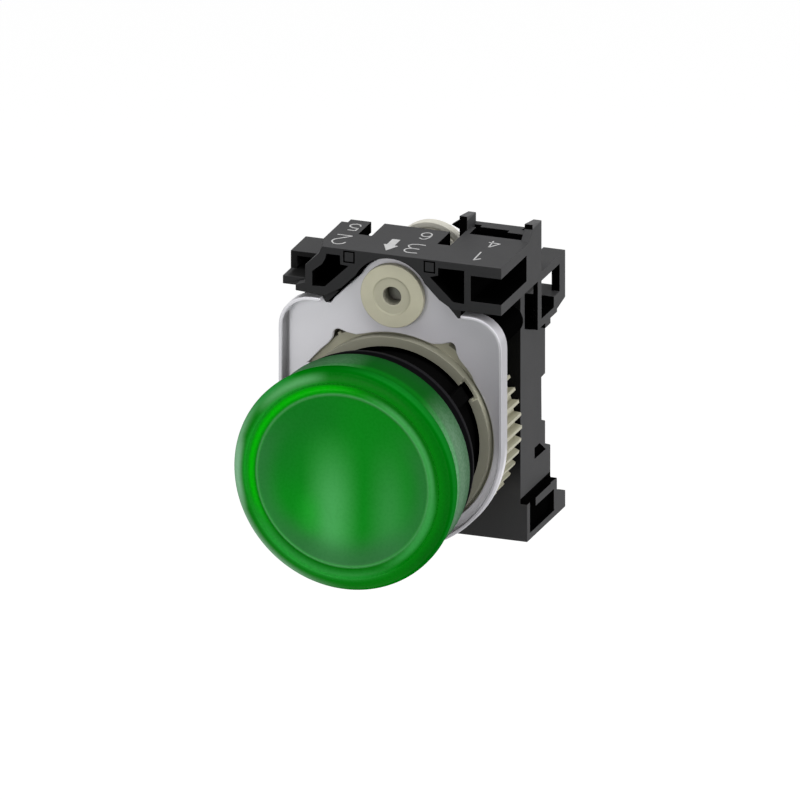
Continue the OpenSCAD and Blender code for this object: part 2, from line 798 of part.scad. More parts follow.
// Housing of the lamp module, open at the front, with wire entries at the rear
module module_housing() {
    color([0.42, 0.43, 0.45]) difference() {
        along_y(housing_front, module_rear - housing_front) module_outline(0);
        along_y(housing_front - over, module_rear - housing_front - module_wall + over)
            module_outline(module_wall);
        for (z = entry_z)
            disc_y(entry_d / 2, module_rear - module_wall - over, module_wall + 2 * over, 0, z);
        for (side = [0, 1])
            along_y(module_rear - module_wall - over, module_wall + 2 * over)
                translate([0, entry_z[side] + (side == 0 ? -1 : 1) * button_drop])
                square([button_w + 2 * slide_gap, button_h + 2 * slide_gap], center = true);
    }
}

// Front cover of the module, with the nose that carries the light into the head
module module_cover() {
    color([0.42, 0.43, 0.45]) difference() {
        union() {
            along_y(module_front, cover_t) module_outline(0);
            disc_y(nose_r, nose_front, module_front - nose_front + cut);
        }
        disc_y(nose_bore_r, nose_front + window_t, housing_front - nose_front + over);
        disc_y(nose_bore_r + 0.4, nose_front - over, over + window_t);
    }
}

// Clear window in the nose
module led_window() {
    color([0.8, 0.9, 0.9, 0.5]) disc_y(nose_bore_r + 0.4, nose_front, window_t);
}

// Circuit board across the module
module led_board() {
    color([0.1, 0.38, 0.2]) along_y(board_y, board_t)
        translate([-board_w / 2, module_low + module_wall + 0.2])
        square([board_w, module_top - module_low - 2 * module_wall - 0.4]);
}

// Green lamp on the board: square base and dome
module led_lamp() {
    base_t = 1.4;
    color([0.2, 0.8, 0.35]) union() {
        along_y(board_y - base_t, base_t) square([lamp_w, lamp_w], center = true);
        disc_y(lamp_r, board_y - base_t - 0.8, 0.8 + cut);
        translate([0, board_y - base_t - 0.8, 0]) sphere(lamp_r);
    }
}

// Two wire-wound resistors on the rear of the board
module dropping_resistors() {
    r = board_w / 6.2;
    color([0.35, 0.55, 0.68]) for (side = [-1, 1])
        translate([side * board_w / 4, board_y + board_t + r, resistor_z[0]])
            cylinder(r = r, h = resistor_z[1] - resistor_z[0]);
}

// Rectifier block, so that the lamp runs on direct or alternating current
module bridge_rectifier() {
    color([0.12, 0.12, 0.12]) block([-0.7, 0.7] * board_w / 2, [board_y + board_t, board_y + board_t + 1.6],
        [rectifier_z, rectifier_z + rectifier_h]);
}

// Disc that absorbs voltage peaks
module surge_limiter() {
    color([0.15, 0.3, 0.6]) disc_y(limiter_r, board_y + board_t, 1.5, 0, limiter_z);
}

// Bar and spring of one terminal: y positions follow from the board and the rear wall
bar_front = board_y + board_t;
bar_rear = module_rear - module_wall - 0.2;
bar_t = 0.7;
bar_half_w = module_half_w - module_wall - 0.95;

// Tinned copper bars from the board to the wire entries
module terminal_bars() {
    color([0.8, 0.6, 0.4]) for (side = [-1, 1]) {
        z = side > 0 ? module_top - module_wall - bar_t - 0.2 : module_low + module_wall + 0.2;
        block([-bar_half_w, bar_half_w], [bar_front, bar_rear], [z, z + bar_t]);
    }
}

// Steel springs that press a wire against its bar
module terminal_springs() {
    color([0.75, 0.75, 0.77]) for (side = [0, 1]) {
        way = side == 0 ? 1 : -1;
        z = entry_z[side];
        along_x(0.7 - bar_half_w, 2 * bar_half_w - 1.4) polygon([
            [bar_rear - 0.1, z - way * 1.7],
            [bar_rear - 5, z - way * 1.7],
            [bar_rear - 3.4, z + way * 0.9],
            [bar_rear - 3.7, z + way * 1],
            [bar_rear - 5.6, z - way * spring_reach],
            [bar_rear - 0.1, z - way * spring_reach]
        ]);
    }
}

// Push buttons that open the springs
module release_buttons() {
    color([0.85, 0.4, 0.15]) for (side = [0, 1]) {
        z = entry_z[side] + (side == 0 ? -1 : 1) * button_drop;
        along_y(module_rear - 4.2, 4.6) translate([0, z]) square([button_w, button_h], center = true);
    }
}

lens();
lens_seal();
diffuser();
reflector();
head_body();
panel_gasket();
front_plate();
locking_ring();
module_carrier();
clamp_pad();
clamp_screw();
clamp_knob();
clamp_nut();
module_housing();
module_cover();
led_window();
led_board();
led_lamp();
dropping_resistors();
bridge_rectifier();
surge_limiter();
terminal_bars();
terminal_springs();
release_buttons();
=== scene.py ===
import bpy
import bmesh
import math
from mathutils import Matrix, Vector


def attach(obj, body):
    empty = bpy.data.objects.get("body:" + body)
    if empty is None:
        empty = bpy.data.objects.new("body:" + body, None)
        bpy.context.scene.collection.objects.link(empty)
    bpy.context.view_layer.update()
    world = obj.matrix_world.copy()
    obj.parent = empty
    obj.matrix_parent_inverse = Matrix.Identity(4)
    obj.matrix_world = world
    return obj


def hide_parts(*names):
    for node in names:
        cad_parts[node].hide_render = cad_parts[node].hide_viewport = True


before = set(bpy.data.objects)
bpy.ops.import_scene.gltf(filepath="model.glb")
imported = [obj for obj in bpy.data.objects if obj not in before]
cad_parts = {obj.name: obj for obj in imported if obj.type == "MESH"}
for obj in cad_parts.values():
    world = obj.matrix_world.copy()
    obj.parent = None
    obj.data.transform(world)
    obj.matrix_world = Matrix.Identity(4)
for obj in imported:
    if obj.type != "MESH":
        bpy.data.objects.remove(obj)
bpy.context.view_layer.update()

# Camera: the photograph is a flat projection seen 20 degrees from the right and 20 degrees
# from above, so the camera is orthographic. It aims at the middle of the picture.
VIEW_TURN = math.radians(20)
VIEW_TILT = math.radians(20)
PICTURE_WIDTH = 0.10038
AXIS_POINT = (0, -0.010, 0)
MIDDLE_RIGHT, MIDDLE_UP = 0.006877, 0.009816  # from that point to the middle of the picture
CAMERA_DISTANCE = 0.5
to_camera = Vector((math.sin(VIEW_TURN) * math.cos(VIEW_TILT),
                    -math.cos(VIEW_TURN) * math.cos(VIEW_TILT), math.sin(VIEW_TILT)))
picture_right = Vector((math.cos(VIEW_TURN), math.sin(VIEW_TURN), 0))
picture_up = to_camera.cross(picture_right)
aim = Vector(AXIS_POINT) + picture_right * MIDDLE_RIGHT + picture_up * MIDDLE_UP
camera_data = bpy.data.cameras.new("camera")
camera_data.type = "ORTHO"
camera_data.ortho_scale = PICTURE_WIDTH
camera_data.clip_start = 0.01
camera_data.clip_end = 10
camera = bpy.data.objects.new("camera", camera_data)
camera.location = aim + to_camera * CAMERA_DISTANCE
camera.rotation_euler = (-to_camera).to_track_quat("-Z", "Y").to_euler()
bpy.context.scene.collection.objects.link(camera)
bpy.context.scene.camera = camera
bpy.context.scene.view_settings.view_transform = "Standard"

# Studio: a large soft light above, one on the right, one in front and a tall strip low on the
# left, all turned to the object. The room is white wherever it is looked at or mirrored, and
# gives little light of its own.
LIT_POINT = (0, 0.01, 0)
ROOM_LIGHT = 0.12
STUDIO_LIGHTS = [  # name, place, width and height, watts
    ("light_top", (0.02, -0.13, 0.60), (0.5, 0.4), 2.65),
    ("light_right", (0.62, -0.16, 0.12), (0.4, 0.5), 2.6),
    ("light_front", (-0.12, -0.62, 0.20), (0.5, 0.3), 1.2),
    ("light_strip", (-0.235, -0.56, -0.07), (0.10, 0.30), 0.5),
]
for name, place, size, watts in STUDIO_LIGHTS:
    light = bpy.data.lights.new(name, "AREA")
    light.shape = "RECTANGLE"
    light.size, light.size_y = size
    light.energy = watts
    lamp = bpy.data.objects.new(name, light)
    lamp.location = place
    lamp.rotation_euler = (Vector(LIT_POINT) - lamp.location).to_track_quat("-Z", "Y").to_euler()
    bpy.context.scene.collection.objects.link(lamp)


def looked_at_or_mirrored(tree):
    """1 where the camera, a reflection or a clear piece looks, 0 for light that only lands."""
    path = tree.nodes.new("ShaderNodeLightPath")
    first = tree.nodes.new("ShaderNodeMath")
    first.operation = "MAXIMUM"
    both = tree.nodes.new("ShaderNodeMath")
    both.operation = "MAXIMUM"
    tree.links.new(path.outputs["Is Camera Ray"], first.inputs[0])
    tree.links.new(path.outputs["Is Glossy Ray"], first.inputs[1])
    tree.links.new(first.outputs[0], both.inputs[0])
    tree.links.new(path.outputs["Is Transmission Ray"], both.inputs[1])
    return both.outputs[0]


def split_by_view(tree, lighting, seen, output_type):
    """Ends a tree: one shader throws the light, the other is what is looked at."""
    pick = tree.nodes.new("ShaderNodeMixShader")
    tree.links.new(looked_at_or_mirrored(tree), pick.inputs["Fac"])
    tree.links.new(lighting.outputs[0], pick.inputs[1])
    tree.links.new(seen.outputs[0], pick.inputs[2])
    tree.links.new(pick.outputs[0], tree.nodes.new(output_type).inputs["Surface"])


world = bpy.data.worlds.new("studio_room")
bpy.context.scene.world = world
world.use_nodes = True
tree = world.node_tree
tree.nodes.clear()
room = tree.nodes.new("ShaderNodeBackground")
room.inputs["Color"].default_value = (1, 1, 1, 1)
room.inputs["Strength"].default_value = ROOM_LIGHT
paper = tree.nodes.new("ShaderNodeBackground")
paper.inputs["Color"].default_value = (1, 1, 1, 1)
split_by_view(tree, room, paper, "ShaderNodeOutputWorld")

# Floor: a plain pale sheet below the light, which a panel holds in use. It glows almost
# white to the eye, and the rest of its white is real light, so it keeps a shadow.
FLOOR_DROP = 0.075
FLOOR_REACH = 2.0
FLOOR_GLOW = 0.9
FLOOR_MATT, FLOOR_SHADED = (0.6, 0.6, 0.6, 1), (0.2, 0.2, 0.2, 1)
floor_mesh = bpy.data.meshes.new("floor")
floor_mesh.from_pydata(
    [(x * FLOOR_REACH, y * FLOOR_REACH, -FLOOR_DROP) for x, y in ((-1, -1), (1, -1), (1, 1), (-1, 1))],
    [], [(0, 1, 2, 3)])
floor = bpy.data.objects.new("floor", floor_mesh)
bpy.context.scene.collection.objects.link(floor)
floor_paint = bpy.data.materials.new("floor_paint")
floor_paint.use_nodes = True
tree = floor_paint.node_tree
tree.nodes.clear()
matt = tree.nodes.new("ShaderNodeBsdfDiffuse")
matt.inputs["Color"].default_value = FLOOR_MATT
shaded = tree.nodes.new("ShaderNodeBsdfDiffuse")
shaded.inputs["Color"].default_value = FLOOR_SHADED
glow = tree.nodes.new("ShaderNodeEmission")
glow.inputs["Strength"].default_value = FLOOR_GLOW
glowing = tree.nodes.new("ShaderNodeAddShader")
tree.links.new(shaded.outputs[0], glowing.inputs[0])
tree.links.new(glow.outputs[0], glowing.inputs[1])
split_by_view(tree, matt, glowing, "ShaderNodeOutputMaterial")
floor_mesh.materials.append(floor_paint)

# Head moulding: one black nylon piece, the collar inside the lens, the flange, the sleeve
# with its key and its bayonet lugs. The sleeve, behind the flange, is a little more matt.
SLEEVE_FROM = -0.0009
FLAT_JOIN = math.radians(0.6)
EDGE_SHARPER_THAN = math.radians(32)


def with_rounded_edges(cad_name, piece_name, edge_mm):
    """The CAD node's surface with its triangles joined into flats and its edges rounded."""
    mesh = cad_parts[cad_name].data.copy()
    mesh.name = piece_name
    mesh.materials.clear()
    surface = bmesh.new()
    surface.from_mesh(mesh)
    bmesh.ops.remove_doubles(surface, verts=surface.verts, dist=1e-6)
    bmesh.ops.dissolve_limit(surface, angle_limit=FLAT_JOIN, verts=surface.verts,
                             edges=surface.edges, delimit={"NORMAL"})
    for face in surface.faces:
        face.smooth = True
    surface.to_mesh(mesh)
    surface.free()
    piece = bpy.data.objects.new(piece_name, mesh)
    bpy.context.scene.collection.objects.link(piece)
    rounding = piece.modifiers.new("rounded_edges", "BEVEL")
    rounding.width = edge_mm / 1000
    rounding.segments = 2
    rounding.limit_method = "ANGLE"
    rounding.angle_limit = EDGE_SHARPER_THAN
    rounding.use_clamp_overlap = False
    rounding.harden_normals = False
    flat_first = piece.modifiers.new("flat_faces_stay_flat", "WEIGHTED_NORMAL")
    flat_first.keep_sharp = True
    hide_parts(cad_name)
    return piece


def grain_group():
    """Fine unevenness of a moulded or plated skin: a shade, a roughness and a height."""
    group = bpy.data.node_groups.new("skin_grain", "ShaderNodeTree")
    face = group.interface
    for socket, value in (("Grain Size", 0.15), ("Blotch Size", 3.0), ("Shade Spread", 0.12),
                          ("Roughness", 0.4), ("Roughness Spread", 0.12)):
        face.new_socket(socket, in_out="INPUT", socket_type="NodeSocketFloat").default_value = value
    for socket in ("Shade", "Roughness", "Height"):
        face.new_socket(socket, in_out="OUTPUT", socket_type="NodeSocketFloat")
    add, link = group.nodes.new, group.links.new
    given, made = add("NodeGroupInput"), add("NodeGroupOutput")
    place = add("ShaderNodeTexCoord")
    heights = []
    for socket, detail in (("Grain Size", 3.0), ("Blotch Size", 2.0)):
        per_metre = add("ShaderNodeMath")
        per_metre.operation = "DIVIDE"
        per_metre.inputs[0].default_value = 1000
        link(given.outputs[socket], per_metre.inputs[1])
        noise = add("ShaderNodeTexNoise")
        noise.inputs["Detail"].default_value = detail
        noise.inputs["Roughness"].default_value = 0.6
        link(place.outputs["Object"], noise.inputs["Vector"])
        link(per_metre.outputs[0], noise.inputs["Scale"])
        heights.append(noise.outputs["Fac"])
    fine, broad = heights
    for output, spread in (("Shade", "Shade Spread"), ("Roughness", "Roughness Spread")):
        centred = add("ShaderNodeMath")
        centred.operation = "SUBTRACT"
        link(broad, centred.inputs[0])
        centred.inputs[1].default_value = 0.5
        scaled = add("ShaderNodeMath")
        scaled.operation = "MULTIPLY_ADD"
        link(centred.outputs[0], scaled.inputs[0])
        link(given.outputs[spread], scaled.inputs[1])
        if output == "Roughness":
            link(given.outputs[output], scaled.inputs[2])
        else:
            scaled.inputs[2].default_value = 1
        link(scaled.outputs[0], made.inputs[output])
    link(fine, made.inputs["Height"])
    return group


skin_grain = grain_group()


def math_of(operation, first, second=0):
    """A Math node on a socket and a second socket or plain number, and its output."""
    tree = first.id_data
    node = tree.nodes.new("ShaderNodeMath")
    node.operation = operation
    tree.links.new(first, node.inputs[0])
    if isinstance(second, (int, float)):
        node.inputs[1].default_value = second
    else:
        tree.links.new(second, node.inputs[1])
    return node.outputs[0]


def ramp_of(value, start, end, low=0.0, high=1.0):
    """A soft change from low to high while the value goes from start to end."""
    tree = value.id_data
    node = tree.nodes.new("ShaderNodeMapRange")
    node.interpolation_type = "SMOOTHSTEP"
    for socket, number in (("From Min", start), ("From Max", end), ("To Min", low), ("To Max", high)):
        node.inputs[socket].default_value = number
    tree.links.new(value, node.inputs["Value"])
    return node.outputs["Result"]


def place_in_mm(material):
    """The point's x, y and z on the object, in millimetres."""
    tree = material.node_tree
    place = tree.nodes.new("ShaderNodeTexCoord")
    scaled = tree.nodes.new("ShaderNodeVectorMath")
    scaled.operation = "SCALE"
    scaled.inputs["Scale"].default_value = 1000
    apart = tree.nodes.new("ShaderNodeSeparateXYZ")
    tree.links.new(place.outputs["Object"], scaled.inputs[0])
    tree.links.new(scaled.outputs[0], apart.inputs[0])
    return apart.outputs


def laid_over(below, amount, colour):
    """A colour over the socket below, as strongly as the amount socket says."""
    tree = below.id_data
    mix = tree.nodes.new("ShaderNodeMix")
    mix.data_type = "RGBA"
    tree.links.new(amount, mix.inputs["Factor"])
    tree.links.new(below, mix.inputs["A"])
    mix.inputs["B"].default_value = (*colour, 1)
    return mix.outputs["Result"]


def shade_over(material, amount, colour):
    """Lays painted light or shade, another colour, over the material's base colour."""
    base = material.node_tree.nodes["Principled BSDF"].inputs["Base Color"]
    material.node_tree.links.new(laid_over(base.links[0].from_socket, amount, colour), base)


def skin_material(name, colour, roughness, grain=0.15, depth_um=10, blotch=3.0, shade_spread=0.12,
                  metallic=0.0, specular=0.5):
    """A skin with fine grain, in one colour that drifts a little over the surface."""
    material = bpy.data.materials.new(name)
    material.use_nodes = True
    tree = material.node_tree
    shader = tree.nodes["Principled BSDF"]
    shader.inputs["Metallic"].default_value = metallic
    shader.inputs["Specular IOR Level"].default_value = specular
    grain_node = tree.nodes.new("ShaderNodeGroup")
    grain_node.node_tree = skin_grain
    for socket, value in (("Grain Size", grain), ("Blotch Size", blotch), ("Shade Spread", shade_spread),
                          ("Roughness", roughness)):
        grain_node.inputs[socket].default_value = value
    tint = tree.nodes.new("ShaderNodeMix")
    tint.data_type = "RGBA"
    tint.blend_type = "MULTIPLY"
    tint.inputs["Factor"].default_value = 1
    tint.inputs["A"].default_value = (*colour, 1)
    bump = tree.nodes.new("ShaderNodeBump")
    bump.inputs["Distance"].default_value = depth_um / 1e6
    tree.links.new(grain_node.outputs["Shade"], tint.inputs["B"])
    tree.links.new(tint.outputs["Result"], shader.inputs["Base Color"])
    tree.links.new(grain_node.outputs["Roughness"], shader.inputs["Roughness"])
    tree.links.new(grain_node.outputs["Height"], bump.inputs["Height"])
    tree.links.new(bump.outputs["Normal"], shader.inputs["Normal"])
    return material


head_black = skin_material("head_black", (0.0045, 0.0045, 0.005), 0.4, grain=0.25, depth_um=4, specular=0.0)
x, y, z = place_in_mm(head_black)
# painted highlight: the flange's rear edge is painted paler
shade_over(head_black, ramp_of(y, -1.25, -1.0), (0.02, 0.019, 0.022))  # the flange's paler rear edge
sleeve_black = skin_material("sleeve_black", (0.003, 0.003, 0.003), 0.6, grain=0.25, depth_um=4, specular=0.0)
head_moulding = with_rounded_edges("head_body", "head_moulding", 0.08)
head_moulding.data.materials.append(head_black)
head_moulding.data.materials.append(sleeve_black)
for face in head_moulding.data.polygons:
    if face.center.y > SLEEVE_FROM:
        face.material_index = 1
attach(head_moulding, "root")

# Rubber rings: the flat seal under the lens skirt and the panel gasket behind the flange,
# both cut or moulded from black nitrile rubber with a dull skin.
rubber_skin = skin_material("rubber_skin", (0.008, 0.008, 0.009), 0.62, grain=0.12, specular=0.05)
gasket_ring = with_rounded_edges("panel_gasket", "gasket_ring", 0.1)
gasket_ring.data.materials.append(rubber_skin)
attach(gasket_ring, "root")
seal_ring = with_rounded_edges("lens_seal", "seal_ring", 0.08)
seal_ring.data.materials.append(rubber_skin)
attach(seal_ring, "root")

# Lens: a green polycarbonate cap, turned here from its profile: a shallow dish, a fine lip,
# a round groove, the thick rounded rim and the skirt, which clips over the collar and is
# chamfered at its rear edge. Sizes are radius and depth, in millimetres.
LENS_STEPS = 192
DISH_STEPS, GROOVE_STEPS, CREST_STEPS, RIM_STEPS, SKIRT_STEPS = 24, 8, 5, 16, 6
LENS_WALL, INNER_DISH = 1.4, 0.15
LENS_SHARP_EDGE = math.radians(35)
FACE_R, FACE_Y, DISH = 11.4, -11.10, 0.70
LIP = [(11.47, -11.14), (11.56, -11.10), (11.64, -11.02)]
GROOVE_R, GROOVE_Y, GROOVE_HALF, GROOVE_SINK = 12.28, -11.12, 0.62, 0.32
GROOVE_START, GROOVE_SWEEP = -150, 120  # degrees
CREST_R, CREST_Y, CREST_WIDTH, CREST_RISE = 12.82, -10.96, 0.18, 0.29
RIM_R, RIM_Y, RIM_WIDTH, RIM_DEPTH = 13.0, -11.25, 1.75, 1.25
RIM_TO_SKIRT = [(14.74, -9.6), (14.68, -9.2), (14.55, -8.8), (14.38, -8.45)]
SKIRT_FRONT, SKIRT_BACK, SKIRT_REAR = (14.24, -8.25), (14.18, -3.2), (13.78, -2.4)
BORE_R = 12.38
BORE_CORNER = [(12.38, 0.6), (12.2, 0.18), (11.78, 0), (0, 0)]  # radius, and depth from the inner face
MATT_SKIRT_FROM, MATT_SKIRT_OUTSIDE = -0.0108, 0.013  # in metres


def turned_piece(name, profile, steps):
    """Turns a closed profile of radius and depth, in millimetres, about the head's axis."""
    surface = bmesh.new()
    rings = []
    for radius, depth in profile:
        if radius < 1e-6:
            rings.append([surface.verts.new((0, depth / 1000, 0))])
            continue
        ring = []
        for step in range(steps):
            turn = 2 * math.pi * step / steps
            ring.append(surface.verts.new((radius * math.cos(turn) / 1000, depth / 1000,
                                           radius * math.sin(turn) / 1000)))
        rings.append(ring)
    for inner, outer in zip(rings, rings[1:] + rings[:1]):
        for step in range(steps):
            after = (step + 1) % steps
            if len(inner) == 1 and len(outer) == 1:
                break
            if len(inner) == 1:
                surface.faces.new((inner[0], outer[after], outer[step]))
            elif len(outer) == 1:
                surface.faces.new((inner[step], inner[after], outer[0]))
            else:
                surface.faces.new((inner[step], inner[after], outer[after], outer[step]))
    bmesh.ops.recalc_face_normals(surface, faces=surface.faces)
    for face in surface.faces:
        face.smooth = True
    for edge_line in surface.edges:
        if len(edge_line.link_faces) == 2 and edge_line.calc_face_angle() > LENS_SHARP_EDGE:
            edge_line.smooth = False
    mesh = bpy.data.meshes.new(name)
    surface.to_mesh(mesh)
    surface.free()
    piece = bpy.data.objects.new(name, mesh)
    bpy.context.scene.collection.objects.link(piece)
    return piece


lens_profile = [(FACE_R * step / DISH_STEPS, FACE_Y + DISH * (1 - (step / DISH_STEPS) ** 2))
                for step in range(DISH_STEPS + 1)]
lens_profile += LIP
for step in range(GROOVE_STEPS + 1):
    turn = math.radians(GROOVE_START + GROOVE_SWEEP * step / GROOVE_STEPS)
    lens_profile.append((GROOVE_R + GROOVE_HALF * math.cos(turn), GROOVE_Y - GROOVE_SINK * math.sin(turn)))
for step in range(1, CREST_STEPS + 1):
    lens_profile.append((CREST_R + CREST_WIDTH * step / CREST_STEPS,
                         CREST_Y - CREST_RISE * math.sin(math.pi / 2 * step / CREST_STEPS)))
for step in range(1, RIM_STEPS + 1):
    turn = math.radians(90 - 90 * step / RIM_STEPS)
    lens_profile.append((RIM_R + RIM_WIDTH * math.cos(turn), RIM_Y + RIM_DEPTH * (1 - math.sin(turn))))
lens_profile += [*RIM_TO_SKIRT, SKIRT_FRONT]
for step in range(1, SKIRT_STEPS + 1):
    share = step / SKIRT_STEPS
    lens_profile.append((SKIRT_FRONT[0] + (SKIRT_BACK[0] - SKIRT_FRONT[0]) * share,
                         SKIRT_FRONT[1] + (SKIRT_BACK[1] - SKIRT_FRONT[1]) * share))
inner_y = FACE_Y + DISH + LENS_WALL - INNER_DISH
lens_profile += [SKIRT_REAR, (BORE_R, SKIRT_REAR[1])]
lens_profile += [(radius, inner_y + deeper) for radius, deeper in BORE_CORNER]
lens_cap = turned_piece("lens_cap", lens_profile, LENS_STEPS)
lens_green = bpy.data.materials.new("lens_green")
lens_green.use_nodes = True
tree = lens_green.node_tree
shader = tree.nodes["Principled BSDF"]
shader.inputs["Specular IOR Level"].default_value = 0.04
x, y, z = place_in_mm(lens_green)


def distance_of(across, up):
    """How far a point lies from an axis."""
    return math_of("SQRT", math_of("ADD", math_of("MULTIPLY", across, across), math_of("MULTIPLY", up, up)))


radius = distance_of(x, z)
drift = tree.nodes.new("ShaderNodeTexNoise")
drift.inputs["Scale"].default_value = 2600
drift.inputs["Detail"].default_value = 3
tree.links.new(tree.nodes["Texture Coordinate"].outputs["Object"], drift.inputs["Vector"])


def hill(value, middle, half_width):
    """1 at the middle, falling softly to 0 at the half width on either side."""
    return ramp_of(math_of("ABSOLUTE", math_of("SUBTRACT", value, middle)), half_width, 0)


def towards(degrees, start, end):
    """Grows from 0 to 1 round the lens, full in the given direction. 0 is right and 90 is up."""
    turn = math.radians(degrees)
    along = math_of("ADD", math_of("MULTIPLY", x, math.cos(turn)), math_of("MULTIPLY", z, math.sin(turn)))
    return ramp_of(math_of("DIVIDE", along, radius), start, end)


def product(*factors):
    """All the given sockets multiplied."""
    made = factors[0]
    for factor in factors[1:]:
        made = math_of("MULTIPLY", made, factor)
    return made


on_face = ramp_of(radius, 11.35, 11.15)
low_on_face = product(on_face, ramp_of(z, 8, -4))
on_front = ramp_of(y, -9.6, -10.4)
on_skirt = ramp_of(y, -9.3, -8.3)
on_rear_skirt = ramp_of(y, -7.6, -6.4)
speckle = ramp_of(drift.outputs["Fac"], 0.35, 0.65, 0.75, 1.0)
skirt_right, skirt_top = towards(-2, 0.6, 1.0), towards(115, 0.83, 0.97)
# what is laid over the green, mostly painted light and shade: where, how strongly, and its colour
LENS_TONES_AND_PAINTED_LIGHT = [
    # the dish, in painted light and shade: dark upper left, two upright streaks of painted reflection, a
    # bright green patch, dark edges
    (product(on_face, towards(140, 0.4, 1.0), ramp_of(radius, 3, 9)), 0.7, (0.006, 0.175, 0.016)),
    (product(low_on_face, hill(x, -1.6, 4.4)), 0.75, (0.088, 0.45, 0.125)),
    (product(low_on_face, hill(x, 6.2, 3.8)), 0.40, (0.075, 0.36, 0.11)),
    (product(on_face, ramp_of(z, -1, -5), hill(x, -4.6, 2.6), ramp_of(z, -9, -7)), 0.5, (0.010, 0.40, 0.02)),
    (product(on_face, ramp_of(radius, 8, 11.2), ramp_of(z, 9, 2)), 0.6, (0.035, 0.18, 0.055)),
    (product(on_face, ramp_of(radius, 6.5, 10.5), towards(-90, 0.5, 0.95)), 0.6, (0.03, 0.155, 0.045)),
    # the lip and the groove, in painted light: a pale lip, a painted glow in the groove at the upper left and
    # pale at the right
    (product(hill(radius, 11.45, 0.32), on_front), 0.8, (0.07, 0.32, 0.095)),
    (product(hill(radius, 12.2, 0.75), on_front, towards(147, 0.1, 0.75)), 0.95, (0.0, 0.55, 0.0)),
    (product(hill(radius, 11.9, 0.6), on_front, towards(12, 0.35, 0.8)), 0.7, (0.09, 0.46, 0.13)),
    (product(hill(radius, 12.15, 0.7), on_front, towards(-32, 0.8, 1.0)), 0.85, (0.045, 0.40, 0.075)),
    (product(hill(radius, 12.6, 0.95), on_front, towards(-108, 0.5, 0.95)), 0.75, (0.025, 0.31, 0.045)),
    # the rim, in painted light and shade: dark at the right, pale patches and a pale edge at the left
    (product(hill(radius, 12.95, 0.5), on_front, towards(150, 0.5, 0.95)), 0.6, (0.015, 0.38, 0.03)),
    (product(ramp_of(radius, 12.8, 14.2), towards(30, -0.1, 0.45)), 0.9, (0.0, 0.125, 0.003)),
    (product(ramp_of(radius, 14.5, 14.72), towards(20, 0.2, 0.8)), 0.45, (0.012, 0.27, 0.03)),
    (product(hill(radius, 13.75, 0.9), on_front, towards(122, 0.9, 1.0)), 0.6, (0.16, 0.50, 0.2)),
    (product(ramp_of(radius, 13.9, 14.4), towards(150, 0.8, 0.97)), 0.5, (0.05, 0.36, 0.09)),
    (product(ramp_of(radius, 13.4, 14.6), towards(205, 0.35, 0.95)), 0.75, (0.36, 0.66, 0.42)),
    (product(hill(radius, 14.0, 0.9), towards(182, 0.93, 1.0)), 0.7, (0.33, 0.66, 0.40)),
    # the skirt: dark and darker towards its rear, with painted light in pale and speckled zones, and pale at
    # the left
    (on_skirt, 1.0, (0.004, 0.165, 0.009)),
    (product(on_skirt, speckle, skirt_right), 0.85, (0.19, 0.46, 0.235)),
    (product(on_skirt, speckle, skirt_top), 0.6, (0.11, 0.30, 0.135)),
    (on_rear_skirt, 0.75, (0.006, 0.075, 0.010)),
    (product(on_rear_skirt, speckle, skirt_right), 0.8, (0.19, 0.32, 0.215)),
    (product(on_rear_skirt, speckle, skirt_top), 0.5, (0.11, 0.24, 0.13)),
    (ramp_of(y, -6.0, -3.6), 0.4, (0.012, 0.07, 0.02)),
    (product(on_skirt, towards(190, 0.2, 0.95)), 0.7, (0.30, 0.50, 0.34)),
]
tone = tree.nodes.new("ShaderNodeMix")
tone.data_type = "RGBA"
tone.inputs["A"].default_value = (0.0, 0.205, 0.003, 1)
tone.inputs["B"].default_value = (0.002, 0.245, 0.009, 1)
tree.links.new(on_face, tone.inputs["Factor"])
laid = tone.outputs["Result"]
for where, strength, colour in LENS_TONES_AND_PAINTED_LIGHT:
    laid = laid_over(laid, math_of("MULTIPLY", where, strength), colour)
tint = tree.nodes.new("ShaderNodeMix")
tint.data_type = "RGBA"
tint.blend_type = "MULTIPLY"
tint.inputs["Factor"].default_value = 1
tree.links.new(laid, tint.inputs["A"])
tree.links.new(ramp_of(drift.outputs["Fac"], 0.2, 0.8, 0.97, 1.03), tint.inputs["B"])
tree.links.new(tint.outputs["Result"], shader.inputs["Base Color"])
tree.links.new(ramp_of(drift.outputs["Fac"], 0.2, 0.8, 0.24, 0.32), shader.inputs["Roughness"])
lens_skirt = lens_green.copy()
lens_skirt.name = "lens_skirt"
lens_skirt.node_tree.nodes["Principled BSDF"].inputs["Specular IOR Level"].default_value = 0
for finish in (lens_green, lens_skirt):
    lens_cap.data.materials.append(finish)
for face in lens_cap.data.polygons:
    outside = math.hypot(face.center.x, face.center.z) > MATT_SKIRT_OUTSIDE
    if face.center.y > MATT_SKIRT_FROM and outside:
        face.material_index = 1
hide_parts("lens")
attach(lens_cap, "root")

# Light path behind the lens: an opal disc on the collar and a white cone that leads from
# the lamp module's nose to it. Both are moulded, the disc matt and the cone glossy.
opal_disc = skin_material("opal_disc", (0.82, 0.86, 0.8), 0.5, grain=0.3, depth_um=5)
white_cone = skin_material("white_cone", (0.85, 0.85, 0.8), 0.3, grain=0.3, depth_um=4)


def finish_node(name, material):
    """Gives a CAD node, whose shape stays, its material."""
    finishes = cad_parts[name].data.materials
    finishes.clear()
    finishes.append(material)


finish_node("diffuser", opal_disc)
finish_node("reflector", white_cone)

# Front plate: a pan pressed from steel sheet, zinc-plated, with a raised rim, the tab for
# the clamp screw and the cut-outs beside the hole. Its edges are left soft by the press.
plate_zinc = skin_material("plate_zinc", (0.70, 0.695, 0.725), 0.5, grain=0.35, depth_um=4, blotch=6.0,
                           shade_spread=0.05, metallic=0.3, specular=0.3)
x, y, z = place_in_mm(plate_zinc)
